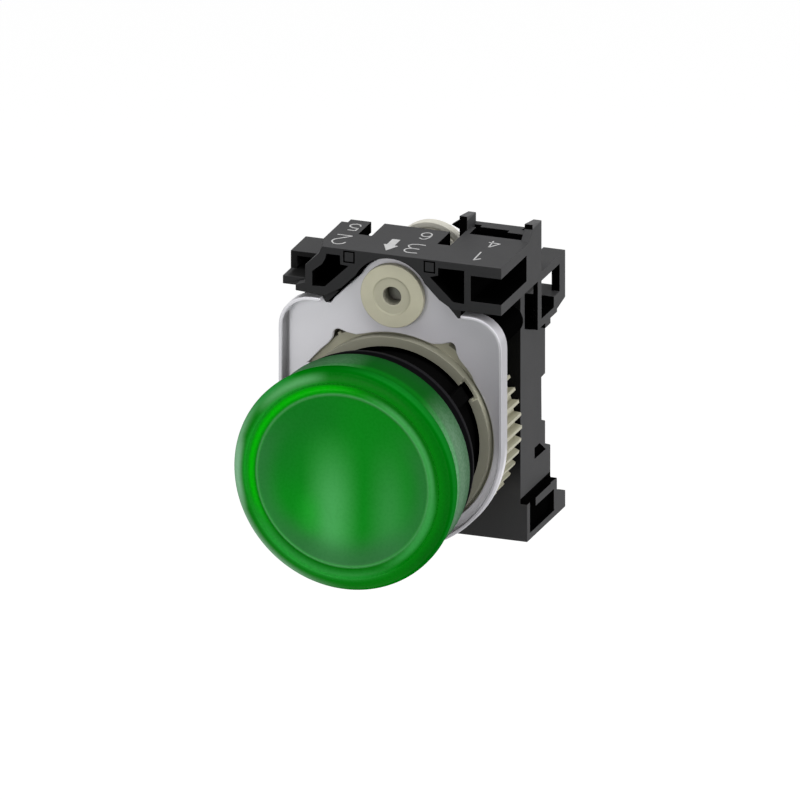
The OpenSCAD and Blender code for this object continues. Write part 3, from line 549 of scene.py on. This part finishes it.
# painted light and shade: paler at the left, darker on the right edge and inside the left rim, pale low at
# the right
left_rim_shade = product(ramp_of(x, -14.5, -14.4), ramp_of(x, -13.9, -14.1), ramp_of(y, 6.5, 6.7))
low_right_light = product(ramp_of(x, 4, 8), ramp_of(z, 1, -4), ramp_of(y, 7.4, 7.8))
shade_over(plate_zinc, ramp_of(x, -9, 3.5), (0.60, 0.59, 0.625))
shade_over(plate_zinc, ramp_of(x, 14.5, 14.8), (0.49, 0.485, 0.51))
shade_over(plate_zinc, left_rim_shade, (0.30, 0.297, 0.305))
shade_over(plate_zinc, low_right_light, (0.92, 0.91, 0.95))
pressed_plate = with_rounded_edges("front_plate", "pressed_plate", 0.14)
# corners of the two cut-outs in the CAD, x and z in mm, and where the photograph shows them
EAR_CORNERS = {
    (8.75, 10.85): (8.65, 10.73),
    (9.8, 9.85): (9.6, 9.66),
    (11.2, 8.3): (10.2, 8.92),
    (10.414, 8.193): (10.55, 8.25),
    (-11.2, 8.3): (-11.6, 7.85),
    (-10.414, 8.193): (-10.95, 7.75),
}
EAR_NEAR = 0.05
for point in pressed_plate.data.vertices:
    for (corner_x, corner_z), (to_x, to_z) in EAR_CORNERS.items():
        if math.hypot(point.co.x * 1000 - corner_x, point.co.z * 1000 - corner_z) < EAR_NEAR:
            point.co.x = to_x / 1000
            point.co.z = to_z / 1000
pressed_plate.data.materials.append(plate_zinc)
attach(pressed_plate, "root")

# Locking ring: moulded in ivory nylon, with grip fins all round and the bayonet groove
# inside. It turns 30 degrees on the sleeve's lugs. Painted shade darkens what lies in the
# plate's hole, less towards the right, and painted light brightens the hub's side.
ivory_nylon = skin_material("ivory_nylon", (0.50, 0.485, 0.37), 0.45, grain=0.2, depth_um=6, blotch=5.0,
                            specular=0.3)
x, y, z = place_in_mm(ivory_nylon)
shaded_in_hole = ramp_of(y, 9.2, 8.2)
lit_hub_side = product(ramp_of(y, 7.15, 7.3), ramp_of(y, 8.25, 8.15), ramp_of(x, 10, 12))
shade_over(ivory_nylon, shaded_in_hole, (0.275, 0.27, 0.21))
shade_over(ivory_nylon, product(shaded_in_hole, ramp_of(x, 9, 12.5)), (0.325, 0.32, 0.25))
shade_over(ivory_nylon, lit_hub_side, (0.62, 0.61, 0.47))
bayonet_ring = with_rounded_edges("locking_ring", "bayonet_ring", 0.06)
bayonet_ring.data.materials.append(ivory_nylon)
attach(bayonet_ring, "ring")

# Carrier: one black glass-filled nylon moulding, the numbered deck, the posts, the upright
# with its three bays and the frames at its sides. Its skin is matt with a fine grain. Painted
# shade makes it darker on the walls that face the operator and quite black in the recesses.
carrier_black = skin_material("carrier_black", (0.0525, 0.0525, 0.054), 0.6, grain=0.1, depth_um=8,
                              specular=0.1)
carrier_front_shade = skin_material("carrier_front_shade", (0.025, 0.025, 0.026), 0.6, grain=0.1, depth_um=8,
                              specular=0.1)
carrier_recess_shade = skin_material("carrier_recess_shade", (0.0015, 0.0015, 0.0015), 0.7, grain=0.1, depth_um=8,
                               specular=0.0)
PLAIN_FINISH, FRONT_SHADE_SLOT, RECESS_SHADE_SLOT = 0, 1, 2
DEEP_SHADE = (0.002, 0.002, 0.002)
x, y, z = place_in_mm(carrier_black)
# painted light on the posts' tops; painted shade on the ledge at the left and on the rail's top behind the
# right wall
lit_post_tops = ramp_of(z, 25.5, 25.6)
shaded_ledge = product(ramp_of(x, -14.6, -14.0), ramp_of(x, -10.4, -10.6), ramp_of(y, 7.6, 8.3),
                   ramp_of(z, 18.9, 19.1), ramp_of(z, 19.4, 19.3))
behind_wall = product(ramp_of(z, 13.75, 13.8), ramp_of(z, 13.95, 13.9), ramp_of(y, 25.9, 26.0),
                      ramp_of(x, 11.6, 11.4))
shade_over(carrier_black, lit_post_tops, (0.11, 0.11, 0.112))
shade_over(carrier_black, shaded_ledge, (0.004, 0.004, 0.004))
shade_over(carrier_black, behind_wall, DEEP_SHADE)
x, y, z = place_in_mm(carrier_front_shade)
# the front's painted shade is lighter on the upright's front wall; deep painted shade lies on the left cheek
# and on the wall behind the plate
left_cheek = product(ramp_of(x, -14.9, -13.6), ramp_of(x, -10.4, -10.6), ramp_of(y, 10, 10.6),
                     ramp_of(z, 22.6, 21.4))
behind_plate = product(ramp_of(z, -9.5, -4), ramp_of(y, 10, 11))
shade_over(carrier_front_shade, ramp_of(y, 15, 15.5), (0.038, 0.038, 0.039))
shade_over(carrier_front_shade, left_cheek, DEEP_SHADE)
shade_over(carrier_front_shade, behind_plate, DEEP_SHADE)
carrier_moulding = with_rounded_edges("module_carrier", "carrier_moulding", 0.07)
# the side walls' faces are cut at the top of the feet, so that the feet can take painted shade below it
WALL_FACE, FOOT_TOP, NEAR_WALL = 0.01395, -0.00995, 0.00001
walls = bmesh.new()
walls.from_mesh(carrier_moulding.data)
sides = [face for face in walls.faces if abs(abs(face.calc_center_median().x) - WALL_FACE) < NEAR_WALL]
bmesh.ops.bisect_plane(walls, geom=sides + list({edge for face in sides for edge in face.edges}),
                       plane_co=(0, 0, FOOT_TOP), plane_no=(0, 0, 1))
walls.to_mesh(carrier_moulding.data)
walls.free()
for finish in (carrier_black, carrier_front_shade, carrier_recess_shade):
    carrier_moulding.data.materials.append(finish)
# boxes of recesses, which take painted shade, lowest and highest x, y and z in millimetres
HOLLOWS = [
    # under the deck
    ((-10.45, 14.8), (6.5, 15.9), (17.9, 24.15)), ((-9.3, 14.8), (11.9, 22), (17, 24.15)),
    # inside the upright
    ((-13.94, 13.94), (16.05, 29.95), (8.0, 18.2)),
    # between the feet's ribs
    ((13.0, 14.8), (16.05, 29.95), (-15.5, -9.9)), ((-14.8, -13.0), (16.05, 29.95), (-15.5, -9.9)),
    # windows of the side frames
    ((13.0, 14.8), (16.05, 29.95), (11.0, 17.6)), ((-14.8, -13.0), (16.05, 29.95), (11.0, 17.6)),
    # recess at the left of the tab, and the right wall's pocket
    ((-11.5, -9.95), (7, 15.5), (17.9, 21.0)), ((13.0, 14.8), (20.5, 26), (-6.6, -4.7)),
]
# where painted shade also goes or stops, in millimetres, and how far a face must turn to count as facing
COLLAR_TOP, COLLAR_FRONT, COLLAR_REAR = 17.86, 8, 15.99
BAR_BOTTOM, BAR_TOP, BAR_FRONT, BAR_NEAR = 12.4, 13.9, 25.8, 0.1
REAR_HALF, BAR_DEPTH, FEET_UNDERSIDE, POST_FOOT = 16, 25, -15, 24.3
PARTLY, WHOLLY = 0.5, 0.9
for face in carrier_moulding.data.polygons:
    at, way = face.center * 1000, face.normal
    recessed = any(all(low < at[axis] < high for axis, (low, high) in enumerate(box)) for box in HOLLOWS)
    to_rear = way.y > PARTLY or (way.x < -PARTLY and at.y > REAR_HALF)
    on_collar = at.z < COLLAR_TOP and COLLAR_FRONT < at.y < COLLAR_REAR
    on_bar_front, on_bar_top = abs(at.y - BAR_FRONT) < BAR_NEAR, way.z > PARTLY and at.y > BAR_DEPTH
    on_crossbar = BAR_BOTTOM < at.z < BAR_TOP and (on_bar_front or on_bar_top)
    under = way.z < -PARTLY and at.z > FEET_UNDERSIDE
    post_front = way.y < -WHOLLY and at.z > POST_FOOT
    # faces in the recesses, on the collar, underneath and on the posts' fronts take painted shade; other
    # faces turned to the front take the front's darker painted shade
    if (recessed and not on_crossbar and not to_rear) or on_collar or under or post_front:
        face.material_index = RECESS_SHADE_SLOT
    elif on_crossbar:
        face.material_index = PLAIN_FINISH
    elif way.y < -WHOLLY:
        face.material_index = FRONT_SHADE_SLOT
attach(carrier_moulding, "root")

# Printing: white numerals and an arrow, pad-printed on top of the deck. They are read from
# behind, so they stand on their heads for the operator. Each stroke is a thin raised band.
DECK_TOP = 24.2
INK_THICKNESS = 0.02
STROKE = 0.19


def stroke_band(points, width, piece_mesh):
    """A flat band along a line of points (x, y) on the deck, with square ends, in millimetres."""
    left, right = [], []
    for index, (x, y) in enumerate(points):
        before = points[max(index - 1, 0)]
        after = points[min(index + 1, len(points) - 1)]
        way = Vector((after[0] - before[0], after[1] - before[1])).normalized()
        side = Vector((-way.y, way.x)) * width / 2
        left.append((x + side.x, y + side.y))
        right.append((x - side.x, y - side.y))
    flat_shape(left + right[::-1], piece_mesh, quads=len(points))


def flat_shape(outline, piece_mesh, quads=0):
    """A thin solid with the given outline. A band of quads points a side is filled with quads."""
    low, high = ([piece_mesh.verts.new((x / 1000, y / 1000, level / 1000)) for x, y in outline]
                 for level in (DECK_TOP - INK_THICKNESS, DECK_TOP + INK_THICKNESS))
    count = len(outline)
    for index in range(count):
        after = (index + 1) % count
        piece_mesh.faces.new((low[index], low[after], high[after], high[index]))
    if quads:
        for index in range(quads - 1):
            back = count - 1 - index
            piece_mesh.faces.new((high[index], high[index + 1], high[back - 1], high[back]))
            piece_mesh.faces.new((low[back], low[back - 1], low[index + 1], low[index]))
    else:
        piece_mesh.faces.new(high)
        piece_mesh.faces.new(low[::-1])


def bow(centre_x, centre_y, half_w, half_h, start, end, steps):
    """Points of an arc, from one angle in degrees to another."""
    turns = [math.radians(start + (end - start) * step / steps) for step in range(steps + 1)]
    return [(centre_x + half_w * math.cos(turn), centre_y + half_h * math.sin(turn)) for turn in turns]


# lines of each numeral in a unit box, upright, x to the right and y up
NUMERALS = {
    "1": [[(0.02, 0.74), (0.86, 1.0)], [(0.84, 1.0), (0.95, 0.0)]],
    "2": [[(0.04, 0.72), (0.12, 0.87), (0.28, 0.95), (0.46, 0.98), (0.66, 0.96), (0.80, 0.88), (0.92, 0.76),
           (0.94, 0.65), (0.88, 0.54), (0.45, 0.29), (0.03, 0.05)], [(0.0, 0.03), (1.0, 0.03)]],
    "3": [[(0.04, 0.93), (0.40, 0.97), (0.68, 0.96), (0.88, 0.87), (0.96, 0.73), (0.88, 0.60), (0.58, 0.51)],
          [(0.14, 0.52), (0.62, 0.51), (0.86, 0.41), (0.98, 0.26), (0.84, 0.12), (0.5, 0.04), (0.0, 0.06)]],
    "4": [[(1.0, 0.28), (0.0, 0.31)], [(0.0, 0.31), (0.63, 1.0)], [(0.63, 1.0), (0.74, 0.0)]],
    "5": [[(0.80, 0.95), (0.12, 0.95)], [(0.10, 0.97), (0.03, 0.60)],
          [(0.03, 0.62), (0.30, 0.60), (0.55, 0.58), (0.87, 0.46), (0.97, 0.28), (0.82, 0.10), (0.48, 0.02),
           (0.15, 0.08), (0.0, 0.28)]],
    "6": [bow(0.53, 0.30, 0.45, 0.28, 0, 360, 24),
          [(0.05, 0.34), (0.08, 0.66), (0.25, 0.90), (0.53, 0.98), (0.87, 0.85)]],
}
# numeral, lowest and highest x, nearest and farthest depth from the operator
PRINTS = [("2", -8.75, -6.75, 7.9, 11.4), ("5", -8.45, -7.0, 13.15, 15.65), ("3", 0.95, 3.05, 7.95, 11.4),
          ("6", 1.15, 2.6, 13.17, 15.7), ("1", 10.35, 11.2, 8.2, 11.3), ("4", 10.1, 11.65, 13.3, 15.6)]
ARROW = [(-1.05, 7.8), (-2.1, 9.95), (-1.7, 9.95), (-1.7, 12.0), (-0.63, 12.0), (-0.63, 9.85), (-0.13, 9.75)]
print_mesh = bmesh.new()
for numeral, x_low, x_high, y_near, y_far in PRINTS:
    for line in NUMERALS[numeral]:
        stroke_band([(x_high - u * (x_high - x_low), y_far - v * (y_far - y_near)) for u, v in line],
                    STROKE, print_mesh)
flat_shape(ARROW, print_mesh)
bmesh.ops.recalc_face_normals(print_mesh, faces=print_mesh.faces)
mesh = bpy.data.meshes.new("deck_print")
print_mesh.to_mesh(mesh)
print_mesh.free()
deck_print = bpy.data.objects.new("deck_print", mesh)
bpy.context.scene.collection.objects.link(deck_print)
print_white = skin_material("print_white", (0.58, 0.58, 0.58), 0.5, grain=0.08, blotch=0.5, shade_spread=0.25)
mesh.materials.append(print_white)
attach(deck_print, "root")

# Clamp: the ivory pressure pad, the plated screw that turns in it, the light ivory knob
# with its cross slot on the screw's rear end, and the square nut in the carrier.
SCREW_Z = 18.45
pad_nylon = skin_material("pad_nylon", (0.55, 0.53, 0.40), 0.45, grain=0.2, depth_um=6, shade_spread=0.2,
                          specular=0.3)
x, y, z = place_in_mm(pad_nylon)
from_screw = distance_of(x, math_of("SUBTRACT", z, SCREW_Z))
# painted shade in the pad's recess round the screw, and deeper painted shade in its hole
shade_over(pad_nylon, ramp_of(from_screw, 2.5, 2.4), (0.47, 0.455, 0.345))
shade_over(pad_nylon, ramp_of(from_screw, 1.3, 1.15), (0.20, 0.195, 0.16))
clamp_disc = with_rounded_edges("clamp_pad", "clamp_disc", 0.12)
clamp_disc.data.materials.append(pad_nylon)
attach(clamp_disc, "pad")
light_nylon = skin_material("light_nylon", (0.76, 0.74, 0.645), 0.4, grain=0.2, depth_um=6, specular=0.4)
knob_disc = with_rounded_edges("clamp_knob", "knob_disc", 0.1)
knob_disc.data.materials.append(light_nylon)
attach(knob_disc, "screw")
plated_steel = skin_material("plated_steel", (0.5, 0.5, 0.52), 0.32, grain=0.2, depth_um=6, metallic=1.0)
x, y, z = place_in_mm(plated_steel)
# painted shade on the screw's front end, inside the pad's hole
shade_over(plated_steel, ramp_of(y, 9.6, 9.2), (0.16, 0.155, 0.14))
screw_shank = with_rounded_edges("clamp_screw", "screw_shank", 0.08)
screw_shank.data.materials.append(plated_steel)
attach(screw_shank, "screw")
yellow_zinc = skin_material("yellow_zinc", (0.6, 0.5, 0.25), 0.35, grain=0.2, depth_um=6, metallic=1.0)
square_nut = with_rounded_edges("clamp_nut", "square_nut", 0.1)
square_nut.data.materials.append(yellow_zinc)
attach(square_nut, "root")

# Lamp module: grey housing with a snap-on cover, and inside it the board with the lamp,
# two resistors, the rectifier, the surge limiter, and the push-in terminals.
MODULE_FINISHES = [  # CAD node, piece, slot, colour, roughness, metallic
    ("module_housing", "module_shell", "module_grey", (0.10, 0.105, 0.11), 0.45, 0.0),
    ("module_cover", "module_front", "module_grey", (0.10, 0.105, 0.11), 0.45, 0.0),
    ("led_board", "lamp_board", "board_green", (0.015, 0.12, 0.05), 0.35, 0.0),
    ("led_lamp", "lamp_dome", "lamp_green", (0.1, 0.6, 0.2), 0.15, 0.0),
    ("dropping_resistors", "resistor_pair", "resistor_blue", (0.10, 0.25, 0.36), 0.3, 0.0),
    ("bridge_rectifier", "rectifier_block", "chip_black", (0.01, 0.01, 0.01), 0.45, 0.0),
    ("surge_limiter", "limiter_disc", "limiter_blue", (0.02, 0.06, 0.3), 0.25, 0.0),
    ("terminal_bars", "copper_bars", "copper_tinned", (0.6, 0.42, 0.3), 0.3, 1.0),
    ("terminal_springs", "steel_springs", "spring_steel", (0.5, 0.5, 0.52), 0.3, 1.0),
    ("release_buttons", "orange_buttons", "button_orange", (0.7, 0.16, 0.02), 0.4, 0.0),
]
for cad_name, piece_name, slot, colour, roughness, metallic in MODULE_FINISHES:
    piece = with_rounded_edges(cad_name, piece_name, 0.06)
    piece.data.materials.append(skin_material(piece_name + "_skin", colour, roughness, depth_um=6,
                                              metallic=metallic))
    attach(piece, "root")
window_clear = bpy.data.materials.new("window_clear")
window_clear.use_nodes = True
tree = window_clear.node_tree
shader = tree.nodes["Principled BSDF"]
shader.inputs["Transmission Weight"].default_value = 0.9
shader.inputs["IOR"].default_value = 1.5
drift = tree.nodes.new("ShaderNodeTexNoise")
drift.inputs["Scale"].default_value = 400
haze = tree.nodes.new("ShaderNodeMapRange")
haze.inputs["To Min"].default_value = 0.05
haze.inputs["To Max"].default_value = 0.2
tree.links.new(drift.outputs["Fac"], haze.inputs["Value"])
tree.links.new(haze.outputs["Result"], shader.inputs["Roughness"])
finish_node("led_window", window_clear)
